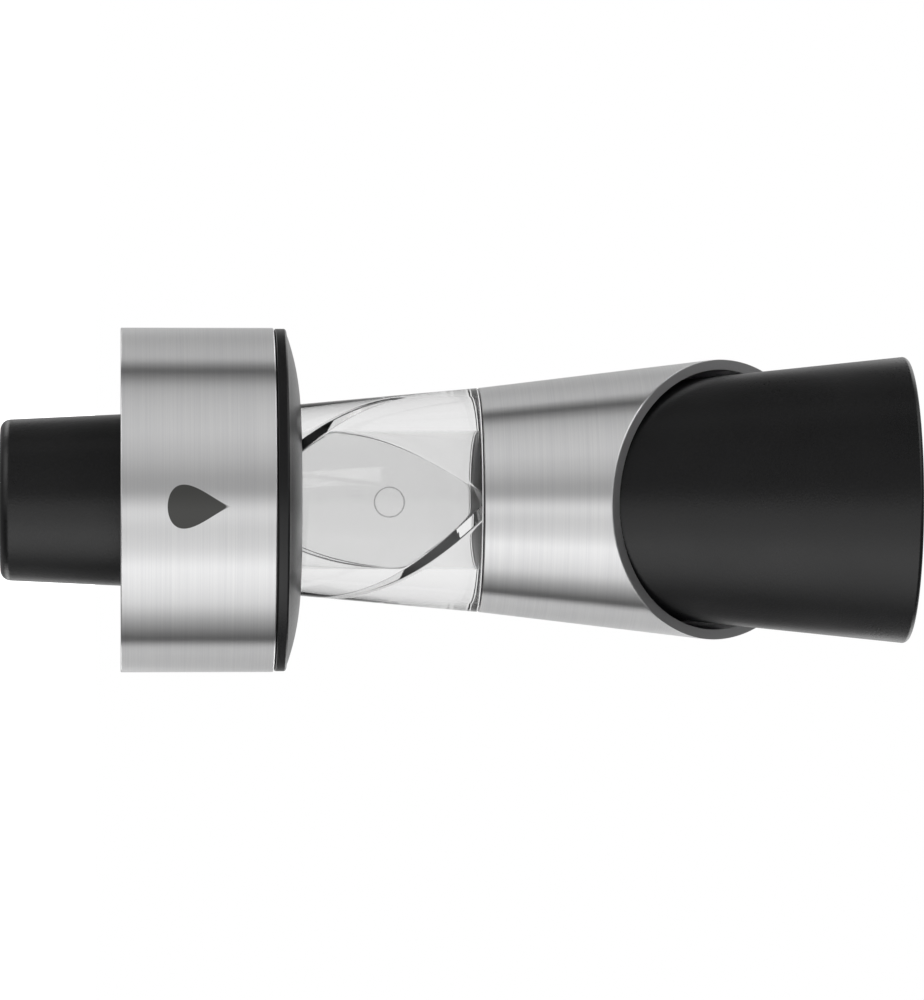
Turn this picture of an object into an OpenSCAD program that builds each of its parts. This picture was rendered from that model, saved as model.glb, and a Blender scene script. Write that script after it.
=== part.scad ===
// Wine pourer that aerates the wine on its way out of the bottle.
// From the tip up: a silicone stopper, a steel and plastic collar that reaches over
// the bottle's lip, a clear chamber with a twisted vane, and a funnel in a steel sleeve.
// All sizes are in millimetres. The axis is Z and the stopper's tip is at z = 0.

/* [Bottle stopper] */
// Diameter of the stopper at its tip, for a bottle bore of 18.5 mm
stopper_tip_d = 18.6; // [17:0.1:20]
// Angle between the stopper's side and its axis, in degrees
stopper_taper = 2.7; // [1:0.1:4]
// Length of the stopper that stands out below the collar
stopper_drop = 13.9; // [10:0.1:18]
// Radius of the corner round the tip
stopper_round = 1.2; // [0.3:0.1:1.5]
// Thickness of the flange that seals on the bottle's lip
flange_t = 1.6; // [1:0.1:2.5]
// Gap between the flange's rim and the collar's inner wall
flange_gap = 1.2; // [0.5:0.1:3]
// Radius of the fillet between the stopper and its flange
flange_fillet = 1.2; // [0.5:0.1:2]
// Thickness of the lip that the stopper folds in under the inlet tube
lip_t = 2; // [1:0.1:4]
// Width of the bevel at the stopper's mouth
lip_bevel = 0.6; // [0.2:0.1:1]

/* [Inlet tube] */
// Bore that the wine flows in through
inlet_d = 9; // [7:0.1:10]
// Wall of the inlet tube
inlet_wall = 1.2; // [0.8:0.1:1.6]
// Number of barbs that hold the stopper on the tube
barb_count = 3; // [1:1:3]
// Height of a barb above the tube
barb_h = 0.5; // [0.2:0.1:0.8]
// Length of a barb
barb_l = 2; // [1:0.1:3]
// Distance from one barb to the next
barb_step = 6; // [4:0.1:7]

/* [Collar] */
// Outer diameter of the steel ring
collar_d = 40; // [36:0.1:46]
// Height of the steel ring
ring_h = 17.7; // [16:0.1:24]
// Thickness of the ring's steel
ring_wall = 1; // [0.6:0.1:1.4]
// Width of the bevels on the ring's two edges
ring_bevel = 0.2; // [0.1:0.05:0.5]
// Wall of the moulded hub inside the ring
hub_wall = 1.3; // [1:0.1:2]
// Thickness of the hub's floor
floor_t = 2; // [1.2:0.1:3]
// Wall of the socket that holds the chamber
socket_wall = 1.5; // [1:0.1:2.5]
// Shadow gap between the ring and the cap
cap_gap = 0.15; // [0.05:0.05:0.4]
// How far the cap's edge lies inside the ring's face
cap_inset = 0.1; // [0:0.05:0.4]
// Height of the cap's straight edge
cap_edge_h = 1.25; // [0.6:0.05:2]
// Radius of the round between the cap's edge and its dome
cap_round = 0.3; // [0.1:0.05:0.5]
// Rise of the dome from the cap's edge to the chamber
dome_h = 1.7; // [1:0.05:4]
// Radius of the dome's curve from the cap's edge to the chamber
dome_curve = 28; // [20:0.5:80]
// Thickness of the cap's dome
cap_t = 1.6; // [1:0.1:2]
// Depth of the cap's rim inside the ring
cap_rim_l = 1; // [0.5:0.1:2]

/* [Aerating chamber] */
// Outer diameter of the chamber where it leaves the cap
chamber_low_d = 22.3; // [21.5:0.1:26]
// Outer diameter of the chamber at the sleeve
chamber_top_d = 26.1; // [25.5:0.1:30]
// Length of the chamber between the cap and the sleeve
chamber_l = 20.65; // [15:0.05:30]
// Wall between the chamber's bore and its narrower spigot
spigot_wall = 2.1; // [1.6:0.1:3]
// Width of the shoulder that rests on the socket
shoulder_w = 0.8; // [0.5:0.1:1]
// Length of the spigot at each end of the chamber
spigot_l = 5.3; // [4:0.1:7]
// Width of the bevels on the chamber's edges
chamber_bevel = 0.15; // [0.05:0.05:0.3]
// Thickness of the two sealing rings
seal_d = 1; // [0.8:0.05:1.2]
// Width of the groove round a spigot, beyond the seal's own thickness
seal_slack = 0.4; // [0.2:0.1:1]

/* [Swirl vane] */
// Thickness of the twisted vane
vane_t = 1.3; // [0.8:0.1:2]
// Height over which the vane makes a full turn
vane_pitch = 58.25; // [40:0.25:120]
// Direction of the vane's front edge where the sleeve begins, in degrees from +X
vane_angle = -80.6; // [-180:0.1:180]

/* [Steel sleeve] */
// Thickness of the sleeve's steel
sleeve_wall = 1.2; // [0.8:0.1:1.5]
// Angle between the sleeve's side and its axis, in degrees
sleeve_taper = 6.9; // [6.4:0.1:9]
// Length of the sleeve on its short side
sleeve_short_l = 14.45; // [12:0.05:25]
// Slant of the sleeve's mouth, in degrees
sleeve_slant = 40.4; // [10:0.1:45]
// Turn of the sleeve's short side from the front, in degrees
sleeve_turn = 1.7; // [-180:0.1:180]
// Joint line between the chamber and the sleeve
joint_gap = 0.15; // [0.05:0.05:0.4]

/* [Funnel] */
// Length of the funnel from the chamber to its mouth
funnel_l = 50.2; // [45:0.1:70]
// Angle between the funnel's side and its axis, in degrees
funnel_taper = 6; // [3:0.1:6.3]
// Wall of the funnel
funnel_wall = 1.5; // [1:0.1:2]
// Gap between the funnel and the sleeve at the sleeve's lower end
funnel_gap = 0.35; // [0.2:0.05:0.4]
// Wall of the socket that goes over the chamber's upper spigot
funnel_socket_wall = 1; // [0.8:0.1:1.1]
// Width of the throat's ledge, which keeps the vane in the chamber's bore
throat_ledge = 0.5; // [0.3:0.1:2]
// Length of the throat
throat_l = 1.4; // [1:0.1:3]
// Length over which the throat opens to the funnel's full width
flare_l = 6; // [4:0.1:10]
// Radius of the round on the funnel's rim
rim_round = 0.5; // [0.2:0.05:0.6]
// Height of each of the two lands that carry the sleeve
land_h = 2.2; // [1:0.1:3]
// Distance from the first land to the second
land_step = 6.5; // [5:0.1:8]

/* [Fits] */
// Play between two pieces that are pushed together
fit_play = 0.05; // [0.03:0.01:0.1]
// Play round a spigot in its socket
spigot_play = 0.1; // [0.05:0.01:0.15]
// Play round the chamber in the cap's hole
hole_play = 0.1; // [0.05:0.01:0.2]

/* [Hidden] */
$fn = 96;

// Colours of the materials in the construction's own views
silicone_black = [0.13, 0.13, 0.14];
plastic_black = [0.16, 0.16, 0.17];
steel = [0.75, 0.75, 0.76];
clear = [0.85, 0.87, 0.88, 0.35];

// Steps of an arc in an outline
arc_steps = 8;
// Steps of the vane's twist along its height, and sides of its section
vane_slices = 48;
vane_sides = 28;

// Heights from the stopper's tip up
collar_z = stopper_drop;
ring_top_z = collar_z + ring_h;
cap_z = ring_top_z + cap_gap;
dome_low_z = cap_z + cap_edge_h;
dome_top_z = dome_low_z + dome_h;
cap_seat_z = dome_top_z - cap_t;
socket_top_z = cap_seat_z - fit_play;
floor_top_z = socket_top_z - spigot_l;
floor_z = floor_top_z - floor_t;
flange_top_z = floor_z - fit_play;
flange_z = flange_top_z - flange_t;
hub_foot_z = collar_z + ring_wall + fit_play;
cap_rim_z = cap_z - cap_rim_l;
hub_top_z = cap_rim_z - fit_play;
chamber_foot_z = floor_top_z + fit_play;
shoulder_z = socket_top_z + fit_play;
joint_z = dome_top_z + chamber_l;
chamber_top_z = joint_z + spigot_l;
sleeve_z = joint_z + joint_gap;
funnel_z = joint_z + fit_play;
throat_z = chamber_top_z + fit_play;
flare_z = throat_z + throat_l;
mouth_z = funnel_z + funnel_l;

// Radii from the outside in
collar_r = collar_d / 2;
ring_in_r = collar_r - ring_wall;
hub_r = ring_in_r - fit_play;
hub_in_r = hub_r - hub_wall;
flange_r = hub_in_r - flange_gap;
cap_r = collar_r - cap_inset;
hole_r = chamber_low_d / 2 + hole_play;
inlet_r = inlet_d / 2;
tube_r = inlet_r + inlet_wall;
lip_r = (inlet_r + tube_r) / 2;
spigot_low_r = chamber_r(shoulder_z) - shoulder_w;
socket_r = spigot_low_r + spigot_play;
socket_out_r = socket_r + socket_wall;
cap_seat_r = socket_out_r + fit_play;
funnel_low_r = chamber_top_d / 2 - sleeve_wall - funnel_gap;
funnel_socket_r = funnel_low_r - funnel_socket_wall;
spigot_top_r = funnel_socket_r - spigot_play;
bore_r = min(spigot_low_r, spigot_top_r) - spigot_wall;
throat_r = bore_r - throat_ledge;

// Depth of a seal's groove, so that the seal fills the space to the socket's wall
groove_depth = seal_d + fit_play - spigot_play;
groove_w = seal_d + seal_slack;

// The dome's curve: an arc over the chord from the chamber's hole to the cap's edge
dome_edge_r = cap_r - cap_round;
dome_w = dome_edge_r - hole_r;
dome_chord = norm([dome_w, dome_h]);
dome_depth = sqrt(pow(dome_curve, 2) - pow(dome_chord / 2, 2));
dome_centre_r = (dome_edge_r + hole_r) / 2 - dome_h / dome_chord * dome_depth;
dome_centre_z = (dome_low_z + dome_top_z) / 2 - dome_w / dome_chord * dome_depth;

// Radii of the tapered sides at height z
function stopper_r(z) = stopper_tip_d / 2 + z * tan(stopper_taper);
function chamber_r(z) =
    chamber_low_d / 2 + (z - dome_top_z) * (chamber_top_d - chamber_low_d) / 2 / chamber_l;
function sleeve_r(z) = chamber_top_d / 2 + (z - sleeve_z) * tan(sleeve_taper);
function sleeve_in_r(z) = sleeve_r(z) - sleeve_wall;
function funnel_r(z) = funnel_low_r + (z - funnel_z) * tan(funnel_taper);
function funnel_in_r(z) = funnel_r(z) - funnel_wall / cos(funnel_taper);
function land_r(z) = sleeve_in_r(z) - fit_play;

// Points of an arc from angle a to angle b
function arc(x, y, r, a, b) = [
    for (i = [0:arc_steps]) let (t = a + (b - a) * i / arc_steps) [x + r * cos(t), y + r * sin(t)]
];

// Points of the dome's outline at distance inset under it, from radius a to radius b
function dome(inset, a, b) = [
    for (i = [0:arc_steps])
        let (r = a + (b - a) * i / arc_steps)
        [r, dome_centre_z + sqrt(pow(dome_curve - inset, 2) - pow(r - dome_centre_r, 2))]
];

// Side of the barbed tube from its lower end up, at distance gap outside it
function barbs(gap) = [
    for (i = [1:barb_count])
        let (z = lip_t + i * barb_step - barb_l)
        let (top_z = z + barb_l + gap)
        each [[tube_r + gap, z], [tube_r + barb_h + gap, top_z], [tube_r + gap, top_z]]
];

// Side of a spigot from z = a to z = b, with its groove; the mouth bevel lies at the end away from s
function spigot(r, a, b) =
    let (m = (a + b) / 2, s = sign(b - a) * groove_w / 2)
    [[r, a], [r, m - s], [r - groove_depth, m - s], [r - groove_depth, m + s], [r, m + s], [r, b]];

// Silicone plug with a flange, grooved inside for the tube's barbs
module bottle_stopper() {
    side = stopper_taper;
    corner_r = stopper_r(stopper_round) - stopper_round / cos(side);
    fillet_r = stopper_r(flange_z - flange_fillet) + flange_fillet;
    groove = barbs(fit_play);
    color(silicone_black) rotate_extrude() polygon([
        [lip_r + lip_bevel, 0],
        each arc(corner_r, stopper_round, stopper_round, -90, -side),
        each arc(fillet_r, flange_z - flange_fillet, flange_fillet, 180, 90),
        [flange_r, flange_z],
        [flange_r, flange_top_z],
        [tube_r + fit_play, flange_top_z],
        each [for (i = [len(groove) - 1:-1:0]) groove[i]],
        [tube_r + fit_play, lip_t - fit_play],
        [lip_r, lip_t - fit_play],
        [lip_r, lip_bevel]
    ]);
}

// Moulded hub: barbed inlet tube, floor, socket for the chamber and wall inside the ring
module collar_hub() {
    color(plastic_black) rotate_extrude() polygon([
        [inlet_r, lip_t],
        [tube_r, lip_t],
        each barbs(0),
        [tube_r, floor_z],
        [hub_in_r, floor_z],
        [hub_in_r, hub_foot_z],
        [hub_r, hub_foot_z],
        [hub_r, hub_top_z],
        [hub_in_r, hub_top_z],
        [hub_in_r, floor_top_z],
        [socket_out_r, floor_top_z],
        [socket_out_r, socket_top_z],
        [socket_r, socket_top_z],
        [socket_r, floor_top_z],
        [inlet_r, floor_top_z]
    ]);
}

// Steel ring, turned in at its lower edge so that it holds the hub
module collar_ring() {
    color(steel) rotate_extrude() polygon([
        [hub_in_r, collar_z],
        [collar_r - ring_bevel, collar_z],
        [collar_r, collar_z + ring_bevel],
        [collar_r, ring_top_z - ring_bevel],
        [collar_r - ring_bevel, ring_top_z],
        [ring_in_r, ring_top_z],
        [ring_in_r, collar_z + ring_wall],
        [hub_in_r, collar_z + ring_wall]
    ]);
}

// Domed cap: its rim fits in the ring, its seat goes over the hub's socket, and the chamber
// comes out through its hole
module collar_cap() {
    slope = asin((dome_edge_r - dome_centre_r) / dome_curve);
    color(plastic_black) rotate_extrude() polygon([
        [hub_in_r, cap_rim_z],
        [hub_r, cap_rim_z],
        [hub_r, cap_z],
        [cap_r, cap_z],
        each arc(dome_edge_r, dome_low_z - cap_round, cap_round, 0, 90 - slope),
        each dome(0, dome_edge_r, hole_r),
        [hole_r, cap_seat_z],
        [cap_seat_r, cap_seat_z],
        each dome(cap_t, cap_seat_r, hub_in_r)
    ]);
}

// Clear chamber: a tapered block with a straight bore and a grooved spigot at each end
module aerator_chamber() {
    color(clear) rotate_extrude() polygon([
        [bore_r, chamber_foot_z],
        each spigot(spigot_low_r, chamber_foot_z, shoulder_z),
        [chamber_r(shoulder_z), shoulder_z],
        [chamber_r(joint_z - chamber_bevel), joint_z - chamber_bevel],
        [chamber_r(joint_z) - chamber_bevel, joint_z],
        each spigot(spigot_top_r, joint_z, chamber_top_z),
        [bore_r, chamber_top_z]
    ]);
}

// Sealing ring in the middle of the spigot with radius r between heights a and b
module seal(r, a, b) {
    centre_r = r - groove_depth + (seal_d + fit_play) / 2;
    color(silicone_black) rotate_extrude() translate([centre_r, (a + b) / 2]) circle(d = seal_d);
}

module chamber_seal() {
    seal(spigot_low_r, chamber_foot_z, shoulder_z);
}

module spout_seal() {
    seal(spigot_top_r, joint_z, chamber_top_z);
}

// Section of the vane: a bar right across the bore, with ends that follow the bore's wall
module vane_section() {
    intersection() {
        square([2 * bore_r, vane_t], center = true);
        circle(bore_r - fit_play);
    }
}

// Clear vane, twisted clockwise on its way up, held between the hub's floor and the funnel
module swirl_vane() {
    foot_z = floor_top_z + fit_play;
    vane_h = throat_z - fit_play - foot_z;
    rate = 360 / vane_pitch;
    color(clear)
        translate([0, 0, foot_z])
            rotate([0, 0, vane_angle + (joint_z - foot_z) * rate])
                linear_extrude(
                    height = vane_h, twist = vane_h * rate, slices = vane_slices, segments = vane_sides
                )
                    vane_section();
}

// Funnel: socket for the chamber, throat, and a cone that widens to the mouth
module pouring_funnel() {
    low_land_z = funnel_z + land_h;
    land_z = funnel_z + land_step;
    land_top_z = land_z + land_h;
    full_z = flare_z + flare_l;
    rim_r = funnel_r(mouth_z - rim_round) - rim_round / cos(funnel_taper);
    rim_in_r = funnel_in_r(mouth_z - rim_round) + rim_round / cos(funnel_taper);
    color(plastic_black) rotate_extrude() polygon([
        [funnel_socket_r, funnel_z],
        [land_r(funnel_z), funnel_z],
        [land_r(low_land_z), low_land_z],
        [funnel_r(low_land_z), low_land_z],
        [funnel_r(land_z), land_z],
        [land_r(land_z), land_z],
        [land_r(land_top_z), land_top_z],
        [funnel_r(land_top_z), land_top_z],
        each arc(rim_r, mouth_z - rim_round, rim_round, -funnel_taper, 90),
        each arc(rim_in_r, mouth_z - rim_round, rim_round, 90, 180 - funnel_taper),
        [funnel_in_r(full_z), full_z],
        [throat_r, flare_z],
        [throat_r, throat_z],
        [funnel_socket_r, throat_z]
    ]);
}

// Steel cone, cut at a slant so that its short side shows the funnel
module spout_sleeve() {
    rise = tan(sleeve_slant);
    grow = tan(sleeve_taper);
    short_z = sleeve_z + sleeve_short_l;
    short_r = sleeve_r(short_z);
    long_z = (short_z + rise * (short_r + sleeve_r(0))) / (1 - rise * grow);
    top_z = long_z + sleeve_wall;
    size = 4 * sleeve_r(top_z);
    color(steel) difference() {
        rotate_extrude() polygon([
            [sleeve_in_r(sleeve_z), sleeve_z],
            [sleeve_r(sleeve_z), sleeve_z],
            [sleeve_r(top_z), top_z],
            [sleeve_in_r(top_z), top_z]
        ]);
        rotate([0, 0, sleeve_turn])
            translate([0, -short_r, short_z])
                rotate([sleeve_slant, 0, 0])
                    translate([-size / 2, -size / 2, 0])
                        cube([size, 2 * size, size]);
    }
}

bottle_stopper();
collar_hub();
collar_ring();
collar_cap();
chamber_seal();
aerator_chamber();
swirl_vane();
spout_seal();
pouring_funnel();
spout_sleeve();
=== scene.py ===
"""Wine pourer: models the pieces that show on its CAD frame, and gives them their finishes."""

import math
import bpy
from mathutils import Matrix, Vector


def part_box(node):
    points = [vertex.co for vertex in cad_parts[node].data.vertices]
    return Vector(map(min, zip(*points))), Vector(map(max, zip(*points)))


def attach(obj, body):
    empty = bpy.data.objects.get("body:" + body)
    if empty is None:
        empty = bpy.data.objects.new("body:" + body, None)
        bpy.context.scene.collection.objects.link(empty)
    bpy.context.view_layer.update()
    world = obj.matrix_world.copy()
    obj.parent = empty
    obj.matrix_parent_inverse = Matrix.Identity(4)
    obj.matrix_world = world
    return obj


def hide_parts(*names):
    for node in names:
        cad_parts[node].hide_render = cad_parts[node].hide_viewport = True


bl_info = {
    "name": "Wine Pourer",
    "version": (1, 0, 0),
    "blender": (4, 5, 0),
    "location": "3D View > Sidebar > Wine Pourer",
    "description": "Models and dresses an aerating wine pourer",
    "category": "Object",
}

import bpy
from mathutils import Matrix, Vector

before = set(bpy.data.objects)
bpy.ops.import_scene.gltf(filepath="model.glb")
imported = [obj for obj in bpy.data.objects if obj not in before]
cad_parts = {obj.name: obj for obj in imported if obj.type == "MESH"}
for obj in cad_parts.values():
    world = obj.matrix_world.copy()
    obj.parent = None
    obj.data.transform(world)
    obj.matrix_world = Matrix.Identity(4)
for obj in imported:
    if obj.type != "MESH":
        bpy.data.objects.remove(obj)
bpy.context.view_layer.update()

MM = 0.001
# Edges of faces that meet at more than this stay sharp
SHARP = math.radians(32)
# Points closer than this are one
MERGE = 0.002 * MM
# The side of the pourer that the camera sees lies in front of this
FRONT_Y = -10 * MM

# Heights and radii that the frame gives
COLLAR_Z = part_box("collar_ring")[0].z
RING_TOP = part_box("collar_ring")[1].z
RING_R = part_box("collar_ring")[1].x
CAP_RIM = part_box("collar_cap")[0].z
HUB_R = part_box("collar_hub")[1].x
FLANGE_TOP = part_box("bottle_stopper")[1].z
FLANGE_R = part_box("bottle_stopper")[1].x
CAP_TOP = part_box("collar_cap")[1].z
CHAMBER_FOOT, CHAMBER_TOP = (corner.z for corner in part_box("aerator_chamber"))
FUNNEL_Z, MOUTH_Z = (corner.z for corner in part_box("pouring_funnel"))
SLEEVE_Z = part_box("spout_sleeve")[0].z


def length(name, description, default):
    """A size in millimetres that the sidebar shows as a length."""
    return bpy.props.FloatProperty(
        name=name, description=description, default=default * MM, unit="LENGTH", precision=5
    )


def turn(name, description, default):
    """An angle in degrees."""
    return bpy.props.FloatProperty(
        name=name, description=description, default=math.radians(default), subtype="ANGLE"
    )


def linear(code):
    """The linear colour of an sRGB hex code."""
    channels = [int(code[i : i + 2], 16) / 255 for i in (1, 3, 5)]
    return [c / 12.92 if c <= 0.04045 else ((c + 0.055) / 1.055) ** 2.4 for c in channels]


def colour(name, description, code):
    """A colour given as an sRGB hex code."""
    return bpy.props.FloatVectorProperty(
        name=name,
        description=description,
        default=linear(code),
        size=3,
        subtype="COLOR",
        min=0,
        max=1,
    )


class PourerSizes(bpy.types.PropertyGroup):
    """Sizes of the modelled pieces."""

    tip_r: length("Stopper tip", "Radius of the stopper at its tip", 9.3)
    stopper_taper: turn("Stopper taper", "Angle between the stopper's side and its axis", 2.7)
    tip_round: length("Tip round", "Round at the corner of the stopper's tip", 1.2)
    flange_t: length("Flange", "Thickness of the stopper's flange", 1.6)
    flange_fillet: length("Flange fillet", "Round between the stopper and its flange", 1.2)
    flange_round: length("Flange edge", "Round on the flange's edges", 0.3)
    tube_r: length("Tube", "Radius of the hub's barbed tube", 5.7)
    barb_h: length("Barb", "Height of a barb above the tube", 0.5)
    barb_l: length("Barb length", "Length of a barb", 2)
    barb_step: length("Barb step", "Distance from one barb to the next", 6)
    lip_t: length("Lip", "Thickness of the stopper's lip under the tube", 2)
    lip_r: length("Lip bore", "Radius of the lip's hole", 5.1)
    lip_round: length("Lip round", "Round at the lip's hole", 0.5)
    ring_wall: length("Ring wall", "Thickness of the ring's steel", 1)
    ring_round: length("Ring edge", "Round on the ring's edges", 0.16)
    hub_wall: length("Hub wall", "Wall of the hub inside the ring", 1.3)
    cap_gap: length("Cap gap", "Shadow gap between the ring and the cap", 0.15)
    cap_inset: length("Cap inset", "How far the cap's edge lies inside the ring's face", 0.1)
    cap_edge: length("Cap edge", "Height of the cap's straight edge", 1.25)
    cap_foot: length("Cap foot", "Round at the foot of the cap's straight edge", 0.12)
    cap_round: length("Cap round", "Round between the cap's edge and its dome", 0.3)
    cap_curve: length("Cap curve", "Radius of the dome's curve from its edge to the chamber", 28)
    cap_t: length("Cap wall", "Thickness of the cap's dome", 1.6)
    cap_hole: length("Cap hole", "Radius of the cap's hole", 11.25)
    hole_bevel_w: length("Hole bevel", "Width of the bevel at the cap's hole", 0.15)
    hole_bevel_h: length("Hole bevel height", "Height of the bevel at the cap's hole", 0.08)
    cap_seat: length("Cap seat", "Radius of the cap's seat over the socket", 11.85)
    chamber_low_r: length("Chamber foot", "Radius of the chamber at the cap", 11.15)
    chamber_top_r: length("Chamber top", "Radius of the chamber at the sleeve", 13.05)
    chamber_l: length("Chamber length", "Length of chamber that shows", 20.65)
    bore_r: length("Bore", "Radius of the chamber's bore", 8.1)
    spigot_l: length("Spigot", "Length of the spigot at each end of the chamber", 5.3)
    low_spigot_r: length("Lower spigot", "Radius of the spigot in the hub's socket", 10.2)
    top_spigot_r: length("Upper spigot", "Radius of the spigot in the funnel's socket", 10.4)
    spigot_round: length("Spigot edge", "Round at the end of a spigot", 0.2)
    groove_depth: length("Seal groove", "Depth of the groove for a seal", 0.95)
    groove_w: length("Seal groove width", "Width of the groove for a seal", 1.4)
    shoulder_round: length("Shoulder", "Round on the chamber's edge under the cap", 0.1)
    chamber_round: length("Chamber edge", "Round on the chamber's edge at the sleeve", 0.15)
    vane_t: length("Vane", "Thickness of the twisted vane", 1.3)
    vane_root: length("Vane root", "Round between the vane and the bore's wall", 0.28)
    vane_pitch: length("Vane pitch", "Height over which the vane makes a full turn", 58.25)
    vane_angle: turn("Vane direction", "Direction of the vane's front edge at the sleeve", -80.6)
    sleeve_wall: length("Sleeve wall", "Thickness of the sleeve's steel", 1.2)
    sleeve_taper: turn("Sleeve taper", "Angle between the sleeve's side and its axis", 6.9)
    sleeve_short: length("Sleeve short side", "Length of the sleeve on its short side", 14.45)
    sleeve_slant: turn("Sleeve slant", "Slant of the sleeve's mouth", 40.4)
    sleeve_turn: turn("Sleeve turn", "Turn of the short side from the front", 1.7)
    sleeve_foot: length("Sleeve foot", "Bevel on the sleeve's lower edge", 0.08)
    sleeve_round: length("Sleeve edge", "Bevel on the sleeve's cut edge", 0.14)
    funnel_wall: length("Funnel wall", "Wall of the funnel", 1.5)
    funnel_taper: turn("Funnel taper", "Angle between the funnel's side and its axis", 6)
    funnel_gap: length("Funnel gap", "Gap between the funnel and the sleeve at the foot", 0.35)
    funnel_socket_r: length("Funnel socket", "Radius of the socket that takes the chamber", 10.5)
    throat_r: length("Throat", "Radius of the funnel's throat", 7.6)
    throat_l: length("Throat length", "Length of the throat", 1.4)
    flare_l: length("Flare", "Length over which the throat opens", 6)
    flare_round: length("Flare foot", "Round where the throat begins to open", 1.5)
    cone_round: length("Flare top", "Round where the flare turns into the cone", 12)
    rim_round: length("Rim round", "Round on the funnel's rim", 0.5)
    land_h: length("Land", "Height of a land that carries the sleeve", 2.2)
    land_step: length("Land step", "Distance from one land to the next", 6.5)
    play: length("Play", "Play between two pieces that are pushed together", 0.05)


class PourerFinish(bpy.types.PropertyGroup):
    """Colours of the materials."""

    silicone: colour("Silicone", "Black silicone of the stopper and the seals", "#0c0c0d")
    plastic: colour("Plastic", "Black plastic of the cap, the hub and the funnel", "#0b0b0c")
    steel_light: colour("Steel", "Brushed steel between the brush lines", "#dbdbdb")
    steel_dark: colour("Steel lines", "Brushed steel in the brush lines", "#d2d2d3")
    acrylic: colour("Acrylic", "Clear acrylic of the chamber and the vane", "#ededed")
    groove: colour("Pin ring", "Frosted groove of the ejector pin in the acrylic", "#8e8e8e")
    mark: colour("Mark", "Etched drop on the ring", "#3b3b39")


class PourerStudio(bpy.types.PropertyGroup):
    """Camera and light."""

    distance: length("Camera distance", "Distance from the camera to the axis", 700)
    eye: length("Camera height", "Height of the camera", 14)
    aim: length("Aim", "Height of the point on the axis at the picture's centre", 53.6)
    lens: bpy.props.FloatProperty(name="Lens", description="Focal length in mm", default=216.7)
    soft_light: bpy.props.FloatProperty(
        name="Soft light", description="Level of the light that comes from all sides", default=0.6
    )
    key_power: bpy.props.FloatProperty(
        name="Key lamp", description="Power of the large soft lamp", default=3, subtype="POWER"
    )
    key_turn: turn("Key turn", "Direction of the lamp, from the camera towards +X", 40)
    key_distance: length("Key distance", "Distance from the lamp to the axis", 800)
    key_height: length("Key height", "Height of the lamp", 550)
    key_size: length("Key size", "Width of the lamp", 400)
    backdrop: colour("Backdrop", "Backdrop and floor", "#ffffff")
    floor_r: length("Floor", "Radius of the floor", 2500)
    tent_r: length("Tent", "Radius of the tent that shows in the gloss", 1200)
    tent_h: length("Tent height", "Height of the tent", 5000)


# Etched drop on the ring's front: height and half its width, and its foot's x and z
DROP_H, DROP_HALF_W = 7.4 * MM, 2.5 * MM
DROP_FOOT = (0.75 * MM, 19.2 * MM)
# Ring that the ejector pin leaves on the chamber's front: its middle, radius, and half its line's
# width where the line begins and ends to fade
PIN_MIDDLE = (0.25 * MM, 0, 44.6 * MM)
PIN_R = 1.7 * MM
PIN_LINE = (0.04 * MM, 0.12 * MM)

# What stands round the pourer in the studio and shows in its gloss: azimuth from the camera, in
# degrees towards +X, brightness in a level band, and brightness above and below it, where white
# is 1. They are fitted to the bands that the photo shows on the steel and on the black pieces.
STUDIO_WALLS = [
    (-180, 0.85, 0.80),
    (-165, 0.48, 0.50),
    (-150, 0.23, 1.23),
    (-135, 0.05, 1.55),
    (-120, 0.05, 1.76),
    (-108, 0.06, 2.00),
    (-105, 0.20, 0.94),
    (-94.5, 0.05, 0.10),
    (-92, 0.24, 0.10),
    (-80, 0.37, 1.03),
    (-65, 0.18, 1.90),
    (-45, 0.27, 1.96),
    (-28, 0.32, 1.47),
    (-14, 0.33, 0.89),
    (-5, 0.31, 0.99),
    (7, 1.16, 0.84),
    (20, 1.27, 0.10),
    (32, 1.41, 0.10),
    (45, 1.90, 0.10),
    (58, 1.74, 0.10),
    (72, 1.45, 0.10),
    (86, 0.75, 0.10),
    (100, 0.27, 0.10),
    (107, 0.08, 0.10),
    (111, 0.39, 0.18),
    (114.5, 0.17, 2.00),
    (135, 0.05, 1.93),
    (150, 0.05, 1.89),
    (165, 0.50, 0.70),
    (180, 0.85, 0.80),
]
BRIGHTEST_WALL = 2.0
TENT_MIDDLE = Vector((0, 0, 50 * MM))
# Brightness high up in the tent, down at its foot and on its ceiling
HIGH_WALL, FOOT_WALL, CEILING = 0.85, 0.35, 0.15
# Tilt of a mirror, as rise over run, that shows the band's middle, and how far from it the band's
# edge begins and ends
BAND_MIDDLE, BAND_EDGE = -0.06, (0.17, 0.23)


def rounded(corners, steps=6):
    """Points of a closed outline whose corners (r, z) with a third value, a radius, are rounded."""
    points = []
    for i, corner in enumerate(corners):
        here = Vector(corner[:2])
        if len(corner) < 3:
            points.append(here)
            continue
        back = (Vector(corners[i - 1][:2]) - here).normalized()
        ahead = (Vector(corners[(i + 1) % len(corners)][:2]) - here).normalized()
        half = back.angle(ahead) / 2
        reach = corner[2] / math.tan(half)
        centre = here + (back + ahead).normalized() * corner[2] / math.sin(half)
        first = (here + back * reach - centre).normalized()
        last = (here + ahead * reach - centre).normalized()
        points += [centre + first.slerp(last, k / steps) * corner[2] for k in range(steps + 1)]
    return points


def draw(name, points):
    """Draws a line through the points by extruding one vertex from each to the next."""
    bpy.ops.object.select_all(action="DESELECT")
    bpy.ops.mesh.primitive_plane_add(size=MM)
    piece = bpy.context.object
    piece.name = piece.data.name = name
    bpy.ops.object.mode_set(mode="EDIT")
    bpy.ops.mesh.select_mode(type="VERT")
    bpy.ops.mesh.merge(type="CENTER")
    bpy.ops.transform.translate(value=points[0])
    for here, there in zip(points, points[1:]):
        bpy.ops.mesh.extrude_vertices_move(TRANSFORM_OT_translate={"value": there - here})
    return piece


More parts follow.
